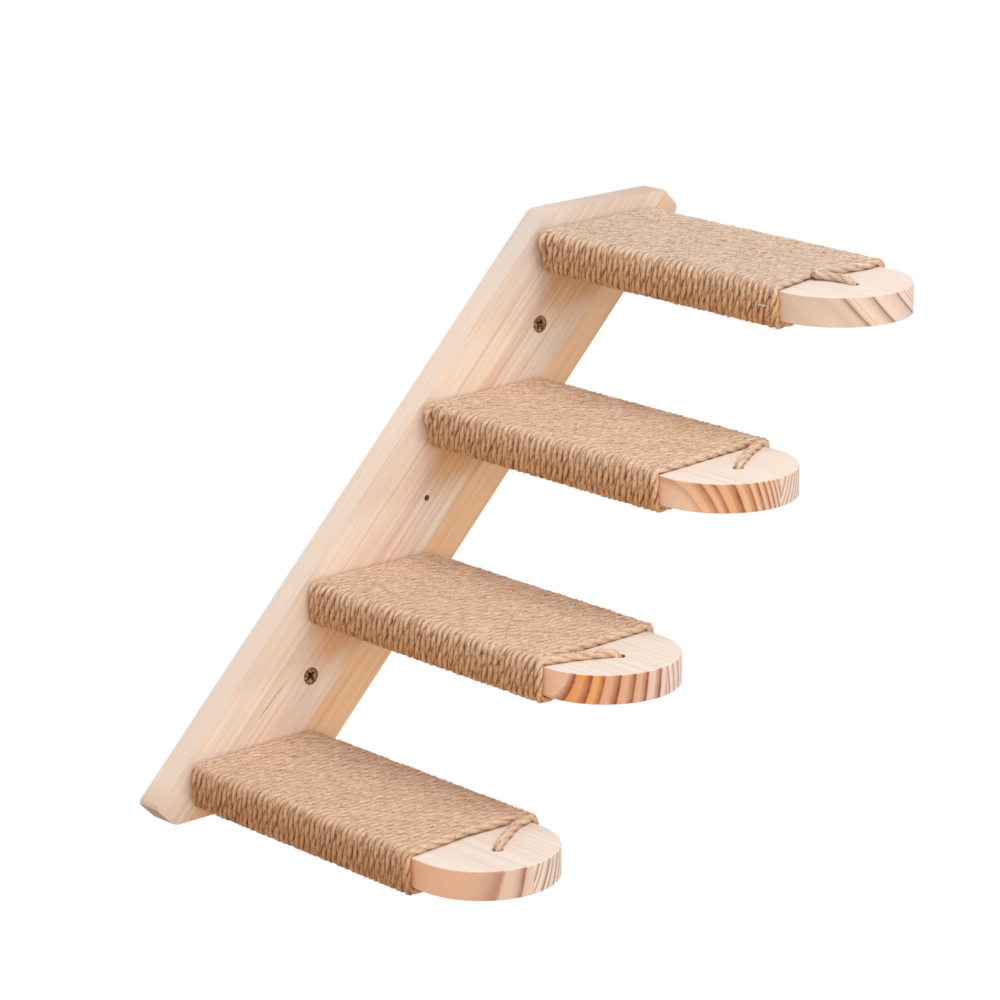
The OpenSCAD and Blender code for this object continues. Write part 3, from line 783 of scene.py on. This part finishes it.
def jute(name, low_tint, high_tint, top_tint):
    """Matt jute: fibres along the rope and tufts on the strands. Its top is paler and its sides more
    orange, as painted light and shade, and the grooves and the gaps between the turns are brown with
    painted shade.
    The tints are for its sides, low and high, and its top."""
    made, tree, shader = new_material(name)
    fibre, strand, painted_light_share = noted(tree, "fibre"), noted(tree, "strand"), noted(tree, "painted_light_share", "Fac")
    groove, between, upward = add(tree, "SeparateXYZ", {0: noted(tree, "skin")}).outputs
    fibres = stretched_noise(tree, fibre, (260, 1500, 1500), detail=3.0, roughness=0.65)
    tufts = stretched_noise(tree, strand, (240, 900, 900), detail=2.0)
    # Painted light: the side palette turns into the paler top one as the rope rises.
    crown, body = (blend(tree, painted_light_share, JUTE_SIDE[part], JUTE_TOP[part]) for part in ("crown", "body"))
    deep = blend(tree, upward, JUTE_SIDE["deep"], JUTE_TOP["deep"])
    colour = blend(tree, ramp(tree, fibres, [(0.24, 0.0), (0.42, 1.0)]), deep, body)
    colour = blend(tree, ramp(tree, fibres, [(0.42, 0.0), (0.64, 1.0)]), colour, crown)
    colour = blend(tree, ramp(tree, fibres, [(0.64, 0.0), (0.8, 0.8)]), colour, JUTE_FLECK)
    colour = blend(tree, ramp(tree, tufts, [(0.4, 0.0), (0.7, 0.35)]), colour, body)
    patches = streaks(tree, strand, (28, 120, 120), [(0.3, 0.92), (0.7, 1.05)], 2.0)
    colour = blend(tree, 1.0, colour, patches, "MULTIPLY")
    # Painted shade: the grooves and the gaps between turns darken toward deep, less so on top.
    groove_shade = times(tree, calc(tree, "POWER", groove, 1.1), calc(tree, "MULTIPLY_ADD", upward, -0.4, 1.0))
    shade_between_turns = times(tree, calc(tree, "POWER", between, 2.6), 0.95)
    uneven = streaks(tree, strand, (190, 420, 420), [(0.38, 0.15), (0.6, 1.0)])
    low = times(tree, calc(tree, "MAXIMUM", groove_shade, shade_between_turns, clamp=True), uneven)
    colour = blend(tree, low, colour, deep)
    specks = streaks(tree, fibre, (380, 1500, 1500), [(0.65, 0.0), (0.73, 0.75)], 1.0)
    colour = blend(tree, specks, colour, JUTE_SIDE["deep"])
    # Painted light and shade on the sides by height, and the rope's own tints.
    tint = blend(tree, upward, blend(tree, painted_light_share, low_tint, high_tint), top_tint)
    colour = blend(tree, 1.0, colour, tint, "MULTIPLY")
    height = calc(tree, "MULTIPLY_ADD", tufts, 0.8, fibres)
    put_in(tree, shader, {"Base Color": colour, "Roughness": 0.92, "Specular IOR Level": 0.15,
                          "Normal": relief(tree, height, 0.65, 0.45 * MM)})
    return made


def jute_hair(name):
    """Single jute hairs, from tan to nearly white."""
    made, tree, shader = new_material(name)
    shades = [(0.36, paint(168, 118, 80)), (0.5, paint(214, 172, 134)), (0.62, paint(240, 214, 184))]
    colour = streaks(tree, on_piece(tree), (180, 180, 180), shades, 1.0)
    put_in(tree, shader, {"Base Color": colour, "Roughness": 0.8})
    return made


# Tints on the sides by height: painted shade low and painted light high. The lowest rope's sides are
# darker, and the top of the highest rope is a little cooler and darker.
SIDES_LOW, SIDES_HIGH, UNTINTED = (0.93, 0.96, 0.95, 1), (1.14, 1.13, 1.06, 1), (1, 1, 1, 1)
first_jute = jute("jute_rope_highest", SIDES_LOW, SIDES_HIGH, (0.91, 0.99, 1.06, 1))
middle_jute = jute("jute_rope", SIDES_LOW, SIDES_HIGH, UNTINTED)
last_jute = jute("jute_rope_lowest", (0.74, 0.7, 0.68, 1), (0.98, 0.88, 0.72, 1), UNTINTED)
ROPE_JUTES = {1: first_jute, 2: middle_jute, 3: middle_jute, 4: last_jute}
hair_jute = jute_hair("jute_hair")

outline = [(ROPE_R * MM * r * cos(a), ROPE_R * MM * r * sin(a)) for a, r in SECTION]
rope_section = cross_section("rope_section", outline)
for i, winding in WINDINGS.items():
    rng = np.random.default_rng(40 + i)
    route, tail_count = rope_route(winding, rng)
    at = TREAD_AT[i - 1]
    route = (at, BOARD_FRONT, at) + route * (MM, -MM, MM)
    gone = distance_gone(route)
    turned = laid_turns(gone, rng)
    rope = stranded_rope(f"tread_{i}_rope", route, rope_section, turned, rng)
    press_on_plank(rope.data, at, rng)
    note_for_jute(rope.data, route, tail_count, at, gone, turned)
    dress(rope, ROPE_JUTES[i])
    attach(rope, "root")
    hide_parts(f"rope_{i}")
    hairs = loose_hairs(f"tread_{i}_rope_hairs", route, at, rng)
    dress(hairs, hair_jute)
    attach(hairs, "root")
bpy.data.objects.remove(rope_section)


# Staple: flat galvanised wire bent to a U, over the last turns on the left of the top tread.
# Its crown lies across the turns and its legs go into the wood, in the place of the CAD staple.
STAPLE_CROWN = 7.4 * MM
WIRE_T, WIRE_BEND, WIRE_CHAMFER = 0.6 * MM, 0.9 * MM, 0.12 * MM


def staple_line(node):
    """The middle of the wire from leg to leg, and the wire's width."""
    low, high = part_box(node)
    crown, height = low.x + WIRE_T / 2, (low.z + high.z) / 2
    outer, inner = low.y + WIRE_T / 2, low.y + STAPLE_CROWN - WIRE_T / 2
    points = [(high.x, outer)]
    for y, way, start in ((outer + WIRE_BEND, -1, 0), (inner - WIRE_BEND, 1, pi / 2)):
        for k in range(7):
            a = start + k * pi / 12
            points.append((crown + WIRE_BEND * (1 - sin(a)), y + way * WIRE_BEND * cos(a)))
    points.append((high.x, inner))
    return [(x, y, height) for x, y in points], high.z - low.z


def staple(name, node):
    points, wire_w = staple_line(node)
    half_t, half_w = WIRE_T / 2, wire_w / 2
    outline = []
    for sx, sy in ((1, 1), (-1, 1), (-1, -1), (1, -1)):
        pair = [(sx * half_t, sy * (half_w - WIRE_CHAMFER)), (sx * (half_t - WIRE_CHAMFER), sy * half_w)]
        outline += pair if sx == sy else pair[::-1]
    section = cross_section("wire_section", outline)
    piece = solid_from_line(name, line_with_section(name, points, section, "Z_UP"))
    bpy.data.objects.remove(section)
    piece.data.set_sharp_from_angle(angle=SHARP_FROM)
    return piece


def worn_metal(name, bright, dull, roughness):
    """Plated steel with blotches and a scuffed, uneven gloss."""
    made, tree, shader = new_material(name)
    blotches = stretched_noise(tree, on_piece(tree), (420, 420, 420), detail=4.0, roughness=0.6)
    scuffs = stretched_noise(tree, on_piece(tree), (2600, 2600, 2600), detail=2.0)
    colour = ramp(tree, blotches, [(0.36, dull), (0.62, bright)])
    colour = blend(tree, 1.0, colour, ramp(tree, scuffs, [(0.3, 0.85), (0.7, 1.08)]), "MULTIPLY")
    gloss = calc(tree, "MULTIPLY_ADD", blotches, 0.3, roughness - 0.15)
    put_in(tree, shader, {"Base Color": colour, "Roughness": gloss, "Metallic": 1.0,
                          "Normal": relief(tree, scuffs, 0.25, 0.05 * MM)})
    return made


rope_staple = staple("tread_1_rope_staple", "rope_staple")
galvanised = worn_metal("galvanised_wire", paint(214, 208, 192), paint(172, 162, 142), 0.42)
dress(rope_staple, galvanised)
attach(rope_staple, "root")
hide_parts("rope_staple")


# Screws: two cross-head wall screws through the board, and two from behind into the end of each tread.
# Each is a turned blank with a cross recess in its head and a thread ridge wound round its core.
# The wall screws are yellow-passivated and have dulled to olive brown, the tread screws are plain zinc.
WALL_SCREW = dict(d=6, length=50, head_d=11.5, pitch=2.8)
TREAD_SCREW = dict(d=4, length=60, head_d=8, pitch=2.0)
HEAD_SINK, HEAD_RIM, PLAIN_SHANK = 0.4, 0.4, 19.6
PLAIN_SHARE, CORE_SHARE, POINT_SHARE = 0.74, 0.66, 1.5
RIDGE_SUNK, RIDGE_SHARP_FROM = 0.15, radians(30)
STEPS_A_TURN, STEPS_ROUND = 20, 48


def turned_blank(screw):
    """Head, plain shank, core and point, spun about Z with the head's face at zero."""
    r, head_r, length = screw["d"] / 2, screw["head_d"] / 2, screw["length"]
    plain, core, point = r * PLAIN_SHARE, r * CORE_SHARE, length - POINT_SHARE * screw["d"]
    under = HEAD_RIM + head_r - plain
    outline = [(0, 0), (head_r - 0.4, 0), (head_r - 0.12, 0.06), (head_r, 0.22), (head_r, HEAD_RIM),
               (plain + 0.5, under - 0.5), (plain + 0.12, under), (plain, under + 0.7),
               (plain, PLAIN_SHANK - 0.4), (core, PLAIN_SHANK + 0.4), (core, point),
               (0.55 * core, length - 0.3 * screw["d"]), (0, length)]
    blank = bmesh.new()
    verts = [blank.verts.new((x * MM, 0, z * MM)) for x, z in outline]
    edges = [blank.edges.new(pair) for pair in zip(verts, verts[1:])]
    bmesh.ops.spin(blank, geom=verts + edges, cent=(0, 0, 0), axis=(0, 0, 1), angle=2 * pi,
                   steps=STEPS_ROUND, use_merge=True)
    bmesh.ops.remove_doubles(blank, verts=blank.verts, dist=SPECK)
    bmesh.ops.recalc_face_normals(blank, faces=blank.faces)
    return blank


def cross_cutter(head_d):
    """A driver's tip: a cross with a thick middle that narrows as it goes down."""
    arm, half_w, middle, depth = 0.33 * head_d, 0.075 * head_d, 0.15 * head_d, 0.3 * head_d
    lean = np.arctan2(half_w, arm)
    places = [(hypot(arm, half_w), q * pi / 2 + a) for q in range(4) for a in (-lean, lean)]
    places = [p for q in range(4) for p in (*places[2 * q:2 * q + 2], (middle, q * pi / 2 + pi / 4))]
    tip = bmesh.new()
    top = bmesh.ops.create_circle(tip, cap_ends=True, segments=12, radius=1)["verts"]
    for vert, (r, a) in zip(top, places):
        vert.co = (r * cos(a) * MM, r * sin(a) * MM, -0.2 * MM)
    grown = bmesh.ops.extrude_face_region(tip, geom=tip.faces[:])["geom"]
    low = [g for g in grown if isinstance(g, bmesh.types.BMVert)]
    bmesh.ops.translate(tip, verts=low, vec=(0, 0, (depth + 0.2) * MM))
    bmesh.ops.scale(tip, verts=low, vec=(0.3, 0.3, 1))
    bmesh.ops.recalc_face_normals(tip, faces=tip.faces)
    return tip


def thread_ridge(screw):
    """A right-hand ridge from the end of the plain shank to the point, where it tapers away."""
    r, pitch, length = screw["d"] / 2, screw["pitch"], screw["length"]
    root, first, last = r * CORE_SHARE - RIDGE_SUNK, PLAIN_SHANK + 0.8, length - 0.25 * screw["d"]
    profile = [(root, first - 0.3 * pitch), (r, first - 0.03), (r, first + 0.03),
               (root, first + 0.14 * pitch)]
    ridge = bmesh.new()
    verts = [ridge.verts.new((x * MM, 0, z * MM)) for x, z in profile]
    edges = [ridge.edges.new(pair) for pair in zip(verts, verts[1:] + verts[:1])]
    steps = int((last - first) / pitch * STEPS_A_TURN)
    bmesh.ops.spin(ridge, geom=verts + edges, cent=(0, 0, 0), axis=(0, 0, 1), steps=steps,
                   angle=2 * pi * steps / STEPS_A_TURN, dvec=(0, 0, pitch * MM / STEPS_A_TURN))
    bmesh.ops.holes_fill(ridge, edges=[e for e in ridge.edges if e.is_boundary])
    for vert in ridge.verts:
        z, out = vert.co.z / MM, hypot(vert.co.x, vert.co.y) / MM
        grown = min(1, max(0, (z - first) / pitch + 0.3))
        taper = min(1, (length - z) / (POINT_SHARE * screw["d"]))
        new = (root + (out - root) * grown) * max(taper, 0.12)
        vert.co.x, vert.co.y = vert.co.x * new / out, vert.co.y * new / out
    bmesh.ops.recalc_face_normals(ridge, faces=ridge.faces)
    return ridge


def as_object(name, made):
    mesh = bpy.data.meshes.new(name)
    made.to_mesh(mesh)
    made.free()
    return in_scene(name, mesh)


def screw_mesh(screw):
    """One whole screw, along Z."""
    blank = as_object("screw_blank", turned_blank(screw))
    cutter = as_object("driver_tip", cross_cutter(screw["head_d"]))
    cut = blank.modifiers.new("cross", "BOOLEAN")
    cut.operation, cut.solver, cut.object = "DIFFERENCE", "EXACT", cutter
    mesh = mesh_from(blank)
    bpy.data.objects.remove(cutter)
    whole = thread_ridge(screw)
    whole.from_mesh(mesh)
    whole.to_mesh(mesh)
    whole.free()
    mesh.shade_smooth()
    mesh.set_sharp_from_angle(angle=RIDGE_SHARP_FROM)
    return mesh


def drive_in(name, node, mesh, at, into, roll, metal):
    """A screw in its place: its head's middle, the way it points along Y, and how far it was turned."""
    piece = in_scene(name, mesh.copy())
    point = Matrix.Rotation(-into * pi / 2, 4, "X")
    piece.data.transform(Matrix.Translation(at) @ point @ Matrix.Rotation(radians(roll), 4, "Z"))
    dress(piece, metal)
    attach(piece, "root")
    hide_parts(node)


passivated = worn_metal("yellow_passivated_zinc", paint(180, 137, 90), paint(78, 48, 28), 0.4)
zinc = worn_metal("bright_zinc", paint(206, 202, 188), paint(168, 164, 152), 0.36)
wall_screw, tread_screw = screw_mesh(WALL_SCREW), screw_mesh(TREAD_SCREW)
for height, at, roll in (("upper", WALL_SCREWS_AT[0], 28), ("lower", WALL_SCREWS_AT[1], 52)):
    drive_in(f"wall_screw_{height}_threaded", f"wall_screw_{height}", wall_screw,
             (at, BOARD_FRONT + HEAD_SINK * MM, at), 1, roll, passivated)
for i, at in enumerate(TREAD_AT, 1):
    for side, out in (("left", -TREAD_SCREW_OUT), ("right", TREAD_SCREW_OUT)):
        drive_in(f"tread_{i}_screw_{side}_threaded", f"tread_{i}_screw_{side}", tread_screw,
                 (at + out, -HEAD_SINK * MM, at), -1, 37 * i + 50 * (out > 0), zinc)


# Studio: a plain pale floor well below the part, soft light from above and in front, and a white
# background. The camera stands where the photograph was taken.
CAMERA_AT = Vector((-1.8710, -2.2473, 0.8302))
LOOKS_AT = Vector((0.06717, -0.020, -0.01468))
ROLL, LENS = radians(-0.609), 157.07
FLOOR_MIDDLE, FLOOR_R, FLOOR_FADES = (0, -0.15, -0.95), 1.3, (0.5, 1.25)

forward = (LOOKS_AT - CAMERA_AT).normalized()
level_right = forward.cross(Vector((0, 0, 1))).normalized()
level_up = level_right.cross(forward)
right = cos(ROLL) * level_right + sin(ROLL) * level_up
upward = cos(ROLL) * level_up - sin(ROLL) * level_right
lens = bpy.data.cameras.new("camera")
lens.sensor_width = 36.0
lens.sensor_fit = "HORIZONTAL"
lens.lens = LENS
lens.clip_end = 30
camera = in_scene("camera", lens)
turned = Matrix((right, upward, -forward)).transposed().to_4x4()
camera.matrix_world = Matrix.Translation(CAMERA_AT) @ turned
studio = bpy.context.scene
studio.camera = camera
studio.view_settings.view_transform = "Standard"

disc = bmesh.new()
bmesh.ops.create_circle(disc, cap_ends=True, segments=96, radius=FLOOR_R)
bmesh.ops.translate(disc, verts=disc.verts, vec=FLOOR_MIDDLE)
floor = as_object("floor", disc)
floor_paint, tree, shader = new_material("floor_paint")
put_in(tree, shader, {"Base Color": paint(240, 240, 240), "Roughness": 0.9})
rim = fade(tree, vector(tree, "DISTANCE", on_piece(tree), FLOOR_MIDDLE), *FLOOR_FADES)
white = add(tree, "Emission", {"Strength": 1.0})
faded = add(tree, "MixShader", {0: rim, 1: shader.outputs[0], 2: white.outputs[0]})
put_in(tree, tree.nodes["Material Output"], {0: faded.outputs[0]})
floor.data.materials.append(floor_paint)

world = bpy.data.worlds.new("studio")
studio.world = world
world.use_nodes = True
tree = world.node_tree
tree.nodes.clear()
rays = add(tree, "LightPath").outputs
shown = calc(tree, "MAXIMUM", rays["Is Camera Ray"], rays["Is Glossy Ray"])
shown = calc(tree, "MAXIMUM", shown, rays["Is Transmission Ray"])
soft = add(tree, "Background", {"Color": (1.0, 0.945, 0.89, 1), "Strength": 0.65})
plain = add(tree, "Background", {"Color": (1, 1, 1, 1), "Strength": 1.0})
both = add(tree, "MixShader", {0: shown, 1: soft.outputs[0], 2: plain.outputs[0]})
add(tree, "OutputWorld", {0: both.outputs[0]})


def soft_light(name, at, towards, size, power, colour=(1, 1, 1)):
    lamp = bpy.data.lights.new(name, "AREA")
    lamp.shape = "DISK"
    lamp.size = size
    lamp.energy = power
    lamp.color = colour
    made = in_scene(name, lamp)
    made.location = at
    made.rotation_euler = (Vector(towards) - Vector(at)).to_track_quat("-Z", "Y").to_euler()


soft_light("overhead_light", at=(0.2, -1.1, 2.1), towards=(0, -0.15, 0), size=1.3, power=28.5,
           colour=(0.97, 0.985, 1.0))
soft_light("front_light", at=(-1.4, -2.2, 0.6), towards=(0, -0.1, 0), size=1.4, power=15)
